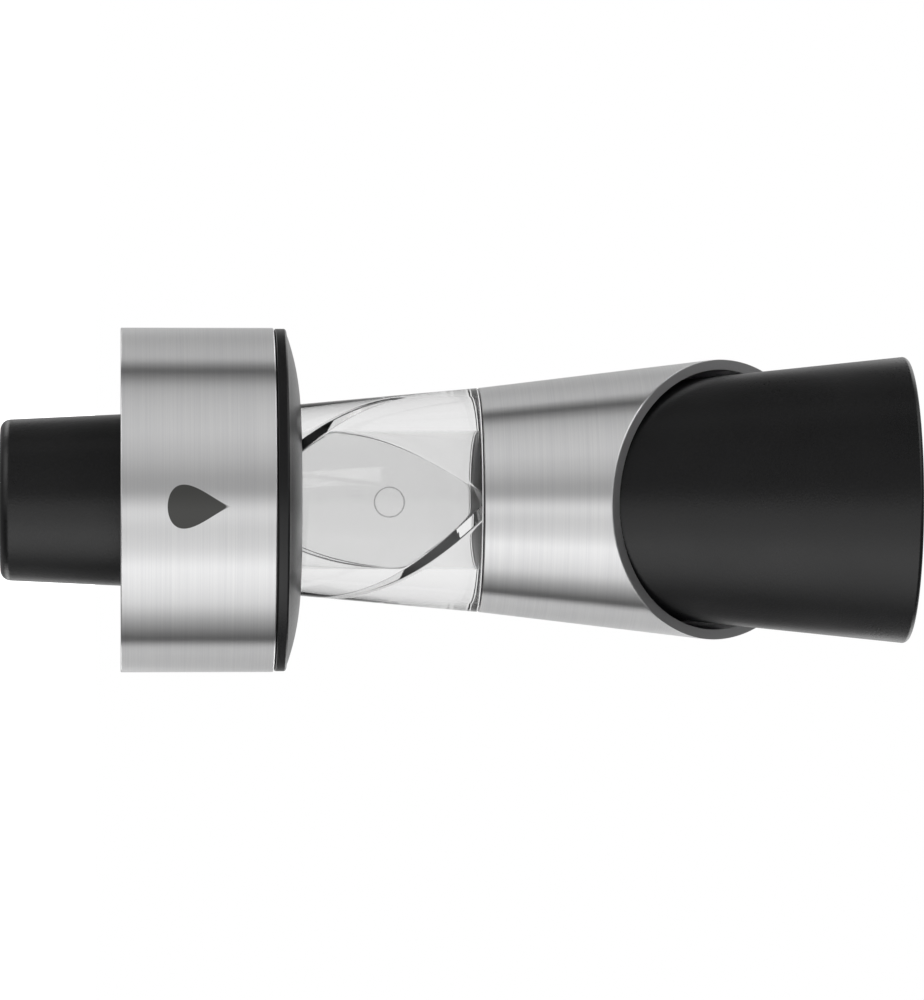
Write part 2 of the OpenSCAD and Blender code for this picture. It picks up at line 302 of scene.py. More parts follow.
def spin_round(steps=192):
    """Spins the line that is being edited once round the axis and closes the seam."""
    bpy.ops.mesh.select_all(action="SELECT")
    bpy.ops.mesh.spin(steps=steps, angle=math.tau, center=(0, 0, 0), axis=(0, 0, 1))
    close_mesh()


def close_mesh():
    """Merges the doubles of the mesh that is being edited and turns its faces outwards."""
    bpy.ops.mesh.select_all(action="SELECT")
    bpy.ops.mesh.remove_doubles(threshold=MERGE)
    bpy.ops.mesh.normals_make_consistent(inside=False)


def lathe(name, corners):
    """Turns an outline of corners (r, z), which closes on itself or on the axis, into a solid."""
    points = [Vector((p.x, 0, p.y)) for p in rounded(corners)]
    if points[0].x > 0:
        points.append(points[0])
    piece = draw(name, points)
    spin_round()
    bpy.ops.object.mode_set(mode="OBJECT")
    return piece


def finish(piece, nodes, slot, material):
    """Smooths a piece, gives it its material and puts it in the place of its CAD nodes."""
    if not piece.data.polygons:
        raise RuntimeError(f"{piece.name} has no faces")
    bpy.ops.object.shade_smooth_by_angle(angle=SHARP)
    if slot != "clear_acrylic":
        # Reflections run straight along the long faces, and the rounded edges take the whole turn.
        # The clear piece keeps plain normals, because weighted ones show its cut faces' triangles.
        bpy.ops.object.modifier_add(type="WEIGHTED_NORMAL")
        weighted = piece.modifiers[-1]
        weighted.keep_sharp = True
        bpy.ops.object.modifier_apply(modifier=weighted.name)
    piece.data.materials.append(material)
    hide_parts(*nodes)
    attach(piece, "root")


def add(tree, kind, values):
    """Adds a node. A lower-case key is a setting, and any other key is an input, which gets a
    value or a link. A node as the value stands for its first output."""
    node = tree.nodes.new(kind)
    for key, value in values.items():
        if isinstance(value, bpy.types.Node):
            value = value.outputs[0]
        if isinstance(key, str) and key.islower():
            setattr(node, key, value)
        elif isinstance(value, bpy.types.NodeSocket):
            tree.links.new(value, node.inputs[key])
        else:
            node.inputs[key].default_value = value
    return node


def new_material(name):
    """An empty node material."""
    material = bpy.data.materials.new(name)
    material.use_nodes = True
    material.node_tree.nodes.clear()
    return material


def drop_mask(tree, place):
    """1 inside the drop on the ring's front, which has its tip up."""
    # From the drop's foot: x in half widths, z in heights
    size = (1 / DROP_HALF_W, 1, 1 / DROP_H)
    foot = (-DROP_FOOT[0] * size[0], 0, -DROP_FOOT[1] * size[2])
    flat = add(tree, "ShaderNodeMapping", {"Vector": place, "Scale": size, "Location": foot})
    x, y, z = add(tree, "ShaderNodeSeparateXYZ", {"Vector": flat}).outputs
    # The square of its half width is z (1 - z) cubed, which is 27 / 256 at its widest
    across = add(tree, "ShaderNodeMath", {"operation": "POWER", 0: x, 1: 2})
    fall = add(tree, "ShaderNodeMath", {"operation": "SUBTRACT", 0: 1, 1: z})
    cubed = add(tree, "ShaderNodeMath", {"operation": "POWER", 0: fall, 1: 3})
    width = add(tree, "ShaderNodeMath", {"operation": "MULTIPLY", 0: z, 1: cubed})
    wide = add(tree, "ShaderNodeMath", {"operation": "MULTIPLY", 0: width, 1: 256 / 27})
    room = add(tree, "ShaderNodeMath", {"operation": "SUBTRACT", 0: wide, 1: across})
    inside = add(tree, "ShaderNodeMapRange", {0: room, 1: 0.0, 2: 0.012, 3: 0.0, 4: 1.0})
    front = add(tree, "ShaderNodeMath", {"operation": "LESS_THAN", 0: y, 1: FRONT_Y})
    return add(tree, "ShaderNodeMath", {"operation": "MULTIPLY", 0: inside, 1: front})


def pin_ring(tree, place):
    """1 on the ring that the ejector pin leaves on the chamber's front."""
    flat = add(tree, "ShaderNodeVectorMath", {"operation": "MULTIPLY", 0: place, 1: (1, 0, 1)})
    away = {"operation": "DISTANCE", 0: flat, 1: PIN_MIDDLE}
    away = add(tree, "ShaderNodeVectorMath", away).outputs["Value"]
    past = add(tree, "ShaderNodeMath", {"operation": "SUBTRACT", 0: away, 1: PIN_R})
    off = add(tree, "ShaderNodeMath", {"operation": "ABSOLUTE", 0: past})
    line = {0: off, 1: PIN_LINE[0], 2: PIN_LINE[1], 3: 1.0, 4: 0.0}
    line = add(tree, "ShaderNodeMapRange", line)
    y = add(tree, "ShaderNodeSeparateXYZ", {"Vector": place}).outputs["Y"]
    front = add(tree, "ShaderNodeMath", {"operation": "LESS_THAN", 0: y, 1: FRONT_Y})
    return add(tree, "ShaderNodeMath", {"operation": "MULTIPLY", 0: line, 1: front})


def brushed_steel(name, mark):
    """Stainless steel, turned and then brushed round the axis with a belt: the fine lines run round
    the piece, so that lights draw out along the axis into soft bands."""
    shades = bpy.context.scene.pourer_finish
    material = new_material(name)
    tree = material.node_tree
    place = add(tree, "ShaderNodeTexCoord", {}).outputs["Object"]
    # Belt grit 180 leaves lines 0.05 to 0.1 mm wide; they are drawn 0.15 mm wide so that they show
    fine_place = add(tree, "ShaderNodeMapping", {"Vector": place, "Scale": (45, 45, 6500)})
    fine = {"Vector": fine_place, "Scale": 1, "Detail": 2, "Roughness": 0.6}
    fine = add(tree, "ShaderNodeTexNoise", fine)
    # Broader bands, about 0.8 mm, where the belt pressed harder
    band_place = add(tree, "ShaderNodeMapping", {"Vector": place, "Scale": (18, 18, 1200)})
    band = add(tree, "ShaderNodeTexNoise", {"Vector": band_place, "Scale": 1, "Detail": 1})
    both = add(tree, "ShaderNodeMix", {0: 0.3, 2: fine, 3: band})
    lines = add(tree, "ShaderNodeMapRange", {0: both, 1: 0.34, 2: 0.66, 3: 0.0, 4: 1.0})
    dark, light = (*shades.steel_dark, 1), (*shades.steel_light, 1)
    tone = {"data_type": "RGBA", 0: lines, 6: dark, 7: light}
    tone = add(tree, "ShaderNodeMix", tone).outputs[2]
    rough = add(tree, "ShaderNodeMapRange", {0: lines, 1: 0.0, 2: 1.0, 3: 0.283, 4: 0.277})
    metal = 1.0
    if mark:
        etched = drop_mask(tree, place)
        tone = {"data_type": "RGBA", 0: etched, 6: tone, 7: (*shades.mark, 1)}
        tone = add(tree, "ShaderNodeMix", tone).outputs[2]
        metal = add(tree, "ShaderNodeMath", {"operation": "SUBTRACT", 0: 1, 1: etched})
        lines = add(tree, "ShaderNodeMix", {0: etched, 2: lines, 3: 0.2})
    relief = {"Strength": 0.012, "Distance": 0.02 * MM, "Height": lines}
    relief = add(tree, "ShaderNodeBump", relief)
    round_axis = {"operation": "CROSS_PRODUCT", 0: (0, 0, 1), 1: place}
    round_axis = add(tree, "ShaderNodeVectorMath", round_axis)
    along = add(tree, "ShaderNodeVectorMath", {"operation": "NORMALIZE", 0: round_axis})
    shader = add(
        tree,
        "ShaderNodeBsdfPrincipled",
        {
            "Base Color": tone,
            "Metallic": metal,
            "Roughness": rough,
            "Anisotropic": 1.0,
            "Anisotropic Rotation": 0.25,
            "Tangent": along,
            "Normal": relief,
        },
    )
    add(tree, "ShaderNodeOutputMaterial", {"Surface": shader})
    return material


def ground_steel():
    """The sleeve's steel where its mouth is cut: ground flat and left so, an even dull grey."""
    material = new_material("Ground steel")
    tree = material.node_tree
    place = add(tree, "ShaderNodeTexCoord", {}).outputs["Object"]
    # Marks of the grinding disc, about 0.2 mm
    marks = add(tree, "ShaderNodeTexNoise", {"Vector": place, "Scale": 5000, "Detail": 2})
    rough = add(tree, "ShaderNodeMapRange", {0: marks, 1: 0.3, 2: 0.7, 3: 0.32, 4: 0.46})
    relief = add(tree, "ShaderNodeBump", {"Strength": 0.6, "Distance": 0.02 * MM, "Height": marks})
    steel = (*bpy.context.scene.pourer_finish.steel_dark, 1)
    shader = add(
        tree,
        "ShaderNodeBsdfPrincipled",
        {"Base Color": steel, "Metallic": 1.0, "Roughness": rough, "Normal": relief},
    )
    add(tree, "ShaderNodeOutputMaterial", {"Surface": shader})
    return material


def grained(name, base, grain, roughness, gloss):
    """A dark moulded plastic or rubber with the fine grain of its mould."""
    material = new_material(name)
    tree = material.node_tree
    place = add(tree, "ShaderNodeTexCoord", {}).outputs["Object"]
    pits = {"Vector": place, "Scale": 1 / grain, "Detail": 2, "Roughness": 0.55}
    pits = add(tree, "ShaderNodeTexNoise", pits)
    # Patches some 8 mm across, where the mould's grain is a little finer or coarser
    cloud = add(tree, "ShaderNodeTexNoise", {"Vector": place, "Scale": 120, "Detail": 2})
    pale = [c * 1.5 + 0.001 for c in base]
    tone = add(tree, "ShaderNodeMix", {"data_type": "RGBA", 0: pits, 6: (*base, 1), 7: (*pale, 1)})
    both = add(tree, "ShaderNodeMath", {"operation": "ADD", 0: cloud, 1: pits})
    spread = 0.05
    rough = {0: both, 1: 0.6, 2: 1.4, 3: roughness - spread, 4: roughness + spread}
    rough = add(tree, "ShaderNodeMapRange", rough)
    relief = add(tree, "ShaderNodeBump", {"Strength": 0.35, "Distance": 0.05 * MM, "Height": pits})
    shader = add(
        tree,
        "ShaderNodeBsdfPrincipled",
        {
            "Base Color": tone.outputs[2],
            "Roughness": rough,
            "IOR": 1.5,
            "Specular IOR Level": gloss,
            "Normal": relief,
        },
    )
    add(tree, "ShaderNodeOutputMaterial", {"Surface": shader})
    return material


def black_silicone():
    """Silicone rubber, pressed in a steel mould: deep black with a soft, even, dull sheen."""
    base = bpy.context.scene.pourer_finish.silicone[:]
    return grained("Black silicone", base, grain=0.3 * MM, roughness=0.32, gloss=0.4)


def black_plastic():
    """ABS, injection moulded in a spark-eroded mould: its fine matte grain spreads the lights."""
    base = bpy.context.scene.pourer_finish.plastic[:]
    return grained("Black ABS", base, grain=0.25 * MM, roughness=0.31, gloss=0.35)


def clear_acrylic():
    """Acrylic, moulded in a polished mould: it bends the light like glass, and the bore, the vane
    and its edges show through its wall."""
    shades = bpy.context.scene.pourer_finish
    material = new_material("Clear acrylic")
    tree = material.node_tree
    place = add(tree, "ShaderNodeTexCoord", {}).outputs["Object"]
    # The wall sinks a little, in waves some 6 mm long, as the thick moulding cools
    waves = add(tree, "ShaderNodeTexNoise", {"Vector": place, "Scale": 160, "Detail": 1})
    ring = pin_ring(tree, place)
    height = add(tree, "ShaderNodeMath", {"operation": "MULTIPLY_ADD", 0: waves, 1: 0.03, 2: ring})
    relief = add(tree, "ShaderNodeBump", {"Strength": 1.0, "Distance": 0.05 * MM, "Height": height})
    # Both spigots, which are glued in, are left frosted
    middle = (CHAMBER_FOOT + CHAMBER_TOP) / 2
    polished = (CHAMBER_TOP - CHAMBER_FOOT) / 2 - bpy.context.scene.pourer_sizes.spigot_l
    z = add(tree, "ShaderNodeSeparateXYZ", {"Vector": place}).outputs["Z"]
    from_middle = add(tree, "ShaderNodeMath", {"operation": "SUBTRACT", 0: z, 1: middle})
    away = add(tree, "ShaderNodeMath", {"operation": "ABSOLUTE", 0: from_middle})
    frost = {0: away, 1: polished + 0.02 * MM, 2: polished + 0.1 * MM, 3: 0.0, 4: 0.5}
    frosted = add(tree, "ShaderNodeMapRange", frost)
    clear = (*shades.acrylic, 1)
    groove = (*shades.groove, 1)
    tone = add(tree, "ShaderNodeMix", {"data_type": "RGBA", 0: ring, 6: clear, 7: groove})
    shader = add(
        tree,
        "ShaderNodeBsdfPrincipled",
        {
            "Base Color": tone.outputs[2],
            "Roughness": frosted,
            "IOR": 1.49,
            "Transmission Weight": 1.0,
            "Normal": relief,
        },
    )
    add(tree, "ShaderNodeOutputMaterial", {"Surface": shader})
    return material


def chamber_r(s, z):
    """Radius of the chamber's side at height z."""
    return s.chamber_low_r + (z - CAP_TOP) * (s.chamber_top_r - s.chamber_low_r) / s.chamber_l


def sleeve_r(s, z):
    """Radius of the sleeve's outside at height z."""
    return s.chamber_top_r + (z - SLEEVE_Z) * math.tan(s.sleeve_taper)


def funnel_r(s, z):
    """Radius of the funnel's outside at height z."""
    low = s.chamber_top_r - s.sleeve_wall - s.funnel_gap
    return low + (z - FUNNEL_Z) * math.tan(s.funnel_taper)


class POURER_OT_stopper(bpy.types.Operator):
    """Model the tapered stopper with its flange"""

    bl_idname = "pourer.stopper"
    bl_label = "Stopper"

    def execute(self, context):
        s = context.scene.pourer_sizes
        flange_z = FLANGE_TOP - s.flange_t
        high_r = s.tip_r + flange_z * math.tan(s.stopper_taper)
        inner_r = s.tube_r + s.play
        groove_r = inner_r + s.barb_h
        # Grooves for the tube's three barbs, from the top one down
        grooves = []
        for k in (3, 2, 1):
            barb_z = s.lip_t + k * s.barb_step
            groove_z = barb_z + s.play
            grooves += [(inner_r, groove_z), (groove_r, groove_z), (inner_r, barb_z - s.barb_l)]
        piece = lathe(
            "silicone_stopper",
            [
                (s.lip_r, 0, s.lip_round),
                (s.tip_r, 0, s.tip_round),
                (high_r, flange_z, s.flange_fillet),
                (FLANGE_R, flange_z, s.flange_round),
                (FLANGE_R, FLANGE_TOP, s.flange_round),
                (inner_r, FLANGE_TOP),
                *grooves,
                (inner_r, s.lip_t - s.play),
                (s.lip_r, s.lip_t - s.play),
            ],
        )
        finish(piece, ["bottle_stopper"], "stopper_silicone", black_silicone())
        return {"FINISHED"}


class POURER_OT_ring(bpy.types.Operator):
    """Model the steel ring, turned in at its lower edge"""

    bl_idname = "pourer.ring"
    bl_label = "Collar ring"

    def execute(self, context):
        s = context.scene.pourer_sizes
        inner_r = RING_R - s.ring_wall
        lip_r = HUB_R - s.hub_wall
        piece = lathe(
            "steel_ring",
            [
                (lip_r, COLLAR_Z, s.ring_round),
                (RING_R, COLLAR_Z, s.ring_round),
                (RING_R, RING_TOP, s.ring_round),
                (inner_r, RING_TOP, s.ring_round / 2),
                (inner_r, COLLAR_Z + s.ring_wall),
                (lip_r, COLLAR_Z + s.ring_wall),
            ],
        )
        steel = brushed_steel("Brushed steel with drop", mark=True)
        finish(piece, ["collar_ring"], "brushed_steel", steel)
        return {"FINISHED"}


class POURER_OT_cap(bpy.types.Operator):
    """Model the domed cap with the hole for the chamber"""

    bl_idname = "pourer.cap"
    bl_label = "Collar cap"

    def execute(self, context):
        s = context.scene.pourer_sizes
        cap_z = RING_TOP + s.cap_gap
        cap_r = RING_R - s.cap_inset
        dome_z = cap_z + s.cap_edge
        edge_r = cap_r - s.cap_round
        # The dome's arc stands on the chord from the chamber's hole to the cap's edge
        wide, high = edge_r - s.cap_hole, CAP_TOP - dome_z
        chord = math.hypot(wide, high)
        depth = math.sqrt(s.cap_curve**2 - (chord / 2) ** 2)
        centre_r = (edge_r + s.cap_hole) / 2 - high / chord * depth
        centre_z = (dome_z + CAP_TOP) / 2 - wide / chord * depth
        lip_r = HUB_R - s.hub_wall
        # The rounded corner lies a little above the dome's foot, and its round ends inside it
        corner_z, past_round = dome_z + 0.05 * MM, 0.2 * MM

        def dome(inset, first, last, steps=12):
            radii = [first + (last - first) * k / steps for k in range(steps + 1)]
            return [
                (r, centre_z + math.sqrt((s.cap_curve - inset) ** 2 - (r - centre_r) ** 2))
                for r in radii
            ]

        piece = lathe(
            "domed_cap",
            [
                (lip_r, CAP_RIM),
                (HUB_R, CAP_RIM),
                (HUB_R, cap_z),
                (cap_r, cap_z, s.cap_foot),
                (cap_r, corner_z, s.cap_round),
                *dome(0, edge_r - past_round, s.cap_hole + s.hole_bevel_w),
                (s.cap_hole, CAP_TOP - s.hole_bevel_h),
                (s.cap_hole, CAP_TOP - s.cap_t),
                (s.cap_seat, CAP_TOP - s.cap_t),
                *dome(s.cap_t, s.cap_seat, lip_r),
            ],
        )
        finish(piece, ["collar_cap"], "black_plastic", black_plastic())
        return {"FINISHED"}


class POURER_OT_chamber(bpy.types.Operator):
    """Model the clear chamber as a block, and cut the two channels that leave its twisted vane"""

    bl_idname = "pourer.chamber"
    bl_label = "Chamber and vane"

    def execute(self, context):
        s = context.scene.pourer_sizes
        shoulder_z = CHAMBER_FOOT + s.spigot_l
        joint_z = CHAMBER_TOP - s.spigot_l
        low_m = (CHAMBER_FOOT + shoulder_z) / 2
        top_m = (joint_z + CHAMBER_TOP) / 2
        half = s.groove_w / 2
        low_in, top_in = s.low_spigot_r - s.groove_depth, s.top_spigot_r - s.groove_depth
        # From the foot up: a spigot with a seal's groove, the tapered wall, and another such spigot
        piece = lathe(
            "clear_chamber",
            [
                (0, CHAMBER_FOOT),
                (s.low_spigot_r, CHAMBER_FOOT, s.spigot_round),
                (s.low_spigot_r, low_m - half),
                (low_in, low_m - half),
                (low_in, low_m + half),
                (s.low_spigot_r, low_m + half),
                (s.low_spigot_r, shoulder_z),
                (chamber_r(s, shoulder_z), shoulder_z, s.shoulder_round),
                (chamber_r(s, joint_z), joint_z, s.chamber_round),
                (s.top_spigot_r, joint_z),
                (s.top_spigot_r, top_m - half),
                (top_in, top_m - half),
                (top_in, top_m + half),
                (s.top_spigot_r, top_m + half),
                (s.top_spigot_r, CHAMBER_TOP, s.spigot_round),
                (0, CHAMBER_TOP),
            ],
        )
        channels = self.sweep_channels(s, joint_z)
        bpy.context.view_layer.objects.active = piece
        cut = piece.modifiers.new("Channels", "BOOLEAN")
        cut.operation = "DIFFERENCE"
        cut.object = channels
        bpy.ops.object.modifier_apply(modifier="Channels")
        bpy.ops.object.select_all(action="DESELECT")
        channels.select_set(True)
        bpy.ops.object.delete()
        piece.select_set(True)
        finish(piece, ["aerator_chamber", "swirl_vane"], "clear_acrylic", clear_acrylic())
        return {"FINISHED"}

    def sweep_channels(self, s, joint_z):
        """Two channels with a half-round section, which wind past both ends of the chamber."""
        past = 1 * MM
        # The section starts a millimetre under the foot, turned back by its share of the twist
        foot, height = CHAMBER_FOOT - past, CHAMBER_TOP - CHAMBER_FOOT + 2 * past
        edge = math.asin(s.vane_t / 2 / s.bore_r)
        steps = 48
        arc = [edge + (math.pi - 2 * edge) * k / steps for k in range(steps + 1)]
        corners = [(s.bore_r * math.cos(a), s.bore_r * math.sin(a)) for a in arc]
        corners[0] += (s.vane_root,)
        corners[-1] += (s.vane_root,)
        start = Matrix.Rotation(s.vane_angle + (joint_z - foot) / s.vane_pitch * math.tau, 3, "Z")
        points = [start @ Vector((p.x, p.y, foot)) for p in rounded(corners)]
        channels = draw("channels", points + points[:1])
        close_mesh()
        bpy.ops.object.mode_set(mode="OBJECT")
        sweep = channels.modifiers.new("Sweep", "SCREW")
        sweep.angle = -height / s.vane_pitch * math.tau
        sweep.screw_offset = height
        sweep.steps = sweep.render_steps = 120
        sweep.use_merge_vertices = False
        bpy.ops.object.modifier_apply(modifier="Sweep")
        bpy.ops.object.mode_set(mode="EDIT")
        bpy.ops.mesh.select_all(action="SELECT")
        bpy.ops.mesh.fill_holes(sides=0)
        bpy.ops.mesh.select_all(action="SELECT")
        bpy.ops.mesh.duplicate()
        bpy.ops.transform.rotate(value=math.pi, orient_axis="Z", center_override=(0, 0, 0))
        close_mesh()
        bpy.ops.object.mode_set(mode="OBJECT")
        return channels


class POURER_OT_funnel(bpy.types.Operator):
    """Model the funnel with its socket, its throat and the lands that carry the sleeve"""

    bl_idname = "pourer.funnel"
    bl_label = "Funnel"

    def execute(self, context):
        s = context.scene.pourer_sizes
        wall = s.funnel_wall / math.cos(s.funnel_taper)
        throat_z = CHAMBER_TOP + s.play
        flare_z = throat_z + s.throat_l
        full_z = flare_z + s.flare_l
        land_z = FUNNEL_Z + s.land_step

        def land_r(z):
            return sleeve_r(s, z) - s.sleeve_wall - s.play

        # Up the outside, over the two lands, round the rim and down the inside to the socket
        piece = lathe(
            "black_funnel",
            [
                (s.funnel_socket_r, FUNNEL_Z),
                (land_r(FUNNEL_Z), FUNNEL_Z),
                (land_r(FUNNEL_Z + s.land_h), FUNNEL_Z + s.land_h),
                (funnel_r(s, FUNNEL_Z + s.land_h), FUNNEL_Z + s.land_h),
                (funnel_r(s, land_z), land_z),
                (land_r(land_z), land_z),
                (land_r(land_z + s.land_h), land_z + s.land_h),
                (funnel_r(s, land_z + s.land_h), land_z + s.land_h),
                (funnel_r(s, MOUTH_Z), MOUTH_Z, s.rim_round),
                (funnel_r(s, MOUTH_Z) - wall, MOUTH_Z, s.rim_round),
                (funnel_r(s, full_z) - wall, full_z, s.cone_round),
                (s.throat_r, flare_z, s.flare_round),
                (s.throat_r, throat_z),
                (s.funnel_socket_r, throat_z),
            ],
        )
        finish(piece, ["pouring_funnel"], "black_plastic", black_plastic())
        return {"FINISHED"}


class POURER_OT_sleeve(bpy.types.Operator):
    """Model the steel sleeve, cut at a slant, with a fine bevel on the cut's outer edge"""

    bl_idname = "pourer.sleeve"
    bl_label = "Sleeve"

    def execute(self, context):
        s = context.scene.pourer_sizes
        short_z = SLEEVE_Z + s.sleeve_short
        short_r = sleeve_r(s, short_z)
        foot_r = sleeve_r(s, SLEEVE_Z)
        bevel_z = SLEEVE_Z + s.sleeve_foot
        # The cone is drawn as high as the mouth, which is past the cut
        points = [
            Vector((sleeve_r(s, MOUTH_Z) - s.sleeve_wall, 0, MOUTH_Z)),
            Vector((foot_r - s.sleeve_wall, 0, SLEEVE_Z)),
            Vector((foot_r - s.sleeve_foot, 0, SLEEVE_Z)),
            Vector((sleeve_r(s, bevel_z), 0, bevel_z)),
            Vector((sleeve_r(s, MOUTH_Z), 0, MOUTH_Z)),
        ]
        piece = draw("steel_sleeve", points)
        spin_round()
        # Cuts the cone at a slant, closes the wall that the cut opens and bevels its outer edge
        sideways = Matrix.Rotation(s.sleeve_turn, 3, "Z")
        point = sideways @ Vector((0, -short_r, short_z))
        normal = sideways @ Vector((0, -math.sin(s.sleeve_slant), math.cos(s.sleeve_slant)))
        bpy.ops.mesh.select_all(action="SELECT")
        bpy.ops.mesh.bisect(plane_co=point, plane_no=normal, clear_outer=True)
        bpy.ops.mesh.select_mode(type="EDGE")
        bpy.ops.mesh.select_all(action="DESELECT")
        bpy.ops.mesh.select_non_manifold()
        bpy.ops.mesh.bridge_edge_loops()
        close_mesh()
        bpy.ops.mesh.select_all(action="DESELECT")
        bpy.ops.object.mode_set(mode="OBJECT")

        def on_cut(co):
            outside = math.hypot(co.x, co.y) > sleeve_r(s, co.z) - s.sleeve_wall / 2
            return outside and abs((co - point).dot(normal)) < MERGE

        for edge in piece.data.edges:
            edge.select = all(on_cut(piece.data.vertices[v].co) for v in edge.vertices)
        bpy.ops.object.mode_set(mode="EDIT")
        bpy.ops.mesh.bevel(offset=s.sleeve_round, segments=2, affect="EDGES")
        bpy.ops.object.mode_set(mode="OBJECT")
        steel = brushed_steel("Brushed steel", mark=False)
        finish(piece, ["spout_sleeve"], "brushed_steel", steel)
        piece.data.materials.append(ground_steel())
        for face in piece.data.polygons:
            if face.normal.dot(normal) > 0.99:
                face.material_index = 1
        return {"FINISHED"}


class POURER_OT_inner_pieces(bpy.types.Operator):
    """Give the hub and the two seals, which stay as they are in CAD, their materials"""

    bl_idname = "pourer.inner_pieces"
    bl_label = "Hub and seals"

    def execute(self, context):
        finishes = {
            "collar_hub": black_plastic(),
            "chamber_seal": black_silicone(),
            "spout_seal": black_silicone(),
        }
        for name, material in finishes.items():
            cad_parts[name].data.materials.clear()
            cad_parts[name].data.materials.append(material)
        return {"FINISHED"}


class POURER_OT_stage(bpy.types.Operator):
    """Set up the camera, the floor, the light and what the steel reflects"""

    bl_idname = "pourer.stage"
    bl_label = "Stage"

    def execute(self, context):
        studio = context.scene.pourer_studio
        self.add_camera(context, studio)
        self.add_world(context, studio)
        self.add_floor(studio)
        self.add_walls(studio)
        self.add_lamp(studio)
        context.scene.view_settings.view_transform = "Standard"
        return {"FINISHED"}

    def add_camera(self, context, studio):
        """Looks along +Y with the pourer's mouth to the right of the picture."""
        bpy.ops.object.camera_add()
        camera = context.object
        eye = Vector((0, -studio.distance, studio.eye))
        ahead = (Vector((0, 0, studio.aim)) - eye).normalized()
        right = Vector((1, 0, 0)).cross(ahead)
        up = Vector((-1, 0, 0))
        looks = Matrix((right, up, -ahead)).transposed().to_4x4()
        camera.matrix_world = Matrix.Translation(eye) @ looks
        camera.data.lens = studio.lens
        context.scene.camera = camera

    def add_world(self, context, studio):
        """White where the camera, metal or glass sees it; an even soft light for all the rest."""
        world = bpy.data.worlds.new("Studio")
        context.scene.world = world
        world.use_nodes = True
        tree = world.node_tree
        tree.nodes.clear()
        rays = add(tree, "ShaderNodeLightPath", {}).outputs
        gloss = {"operation": "MAXIMUM", 0: rays["Is Glossy Ray"], 1: rays["Is Transmission Ray"]}
        gloss = add(tree, "ShaderNodeMath", gloss)
        seen = {"operation": "MAXIMUM", 0: rays["Is Camera Ray"], 1: gloss}
        seen = add(tree, "ShaderNodeMath", seen)
        level = {0: seen, 1: 0.0, 2: 1.0, 3: studio.soft_light, 4: 1.0}
        level = add(tree, "ShaderNodeMapRange", level)
        white = (*studio.backdrop, 1)
        light = add(tree, "ShaderNodeBackground", {"Color": white, "Strength": level})
        add(tree, "ShaderNodeOutputWorld", {"Surface": light})

    def add_floor(self, studio):
        """White paper, which glows for the camera, so that it is white but for the shadow."""
        bpy.ops.object.select_all(action="DESELECT")
        bpy.ops.mesh.primitive_circle_add(vertices=96, radius=studio.floor_r, fill_type="NGON")
        floor = bpy.context.object
        floor.name = "floor"
        material = new_material("White paper")
        tree = material.node_tree
        rays = add(tree, "ShaderNodeLightPath", {}).outputs
        place = add(tree, "ShaderNodeTexCoord", {}).outputs["Object"]
        fibres = add(tree, "ShaderNodeTexNoise", {"Vector": place, "Scale": 900, "Detail": 2})
        relief = {"Strength": 0.1, "Distance": 0.05 * MM, "Height": fibres}
        relief = add(tree, "ShaderNodeBump", relief)
        pale = [c * 0.85 for c in studio.backdrop]
        paper = add(tree, "ShaderNodeBsdfDiffuse", {"Color": (*pale, 1), "Normal": relief})
        glow = {"Color": (*studio.backdrop, 1), "Strength": rays["Is Camera Ray"]}
        glow = add(tree, "ShaderNodeEmission", glow)
        both = add(tree, "ShaderNodeAddShader", {0: paper, 1: glow})
        add(tree, "ShaderNodeOutputMaterial", {"Surface": both})
        floor.data.materials.append(material)
        floor.visible_glossy = False
        floor.visible_transmission = False

    def add_walls(self, studio):
        """A round tent of brighter and darker strips, which only reflections show."""
        bpy.ops.object.select_all(action="DESELECT")
        bpy.ops.mesh.primitive_cylinder_add(
            vertices=96,
            radius=studio.tent_r,
            depth=studio.tent_h,
            end_fill_type="NGON",
            location=TENT_MIDDLE,
        )
        walls = bpy.context.object
        walls.name = "studio_walls"
        # Direction of the camera from the tent's middle
        eye = (Vector((0, -studio.distance, studio.eye)) - TENT_MIDDLE).normalized()
        walls.data.materials.append(self.wall_light(eye))
        walls.visible_camera = False
        walls.visible_diffuse = False
        walls.visible_transmission = False
        walls.visible_shadow = False

    def wall_light(self, eye):
        """Light of the tent's walls and its dim ceiling, for a camera in the direction eye."""
        material = new_material("Studio walls")
        tree = material.node_tree
        place = add(tree, "ShaderNodeTexCoord", {}).outputs["Object"]
        # How a mirror has to face so that it shows the camera this spot. The strips follow it, and
        # so bow with height: each one then shows straight along a brushed piece.
        ahead = add(tree, "ShaderNodeVectorMath", {"operation": "NORMALIZE", 0: place})
        facing = add(tree, "ShaderNodeVectorMath", {"operation": "ADD", 0: ahead, 1: eye})
        # Turned so that the gradient's middle faces the camera
        turned = {"Vector": facing, "Rotation": (0, 0, math.radians(90))}
        turned = add(tree, "ShaderNodeMapping", turned)
        round_axis = {"gradient_type": "RADIAL", "Vector": turned}
        round_axis = add(tree, "ShaderNodeTexGradient", round_axis)
        ramp = add(tree, "ShaderNodeValToRGB", {0: round_axis.outputs["Fac"]})
        stops = ramp.color_ramp.elements
        while len(stops) < len(STUDIO_WALLS):
            stops.new(0.5)
        for stop, (azimuth, low, high) in zip(stops, STUDIO_WALLS):
            # A mirror faces half as far round as the spot that it shows
            stop.position = azimuth / 2 / 360 + 0.5
            stop.color = (low / BRIGHTEST_WALL, high / BRIGHTEST_WALL, 0, 1)
        low, high, _ = add(tree, "ShaderNodeSeparateColor", {0: ramp}).outputs
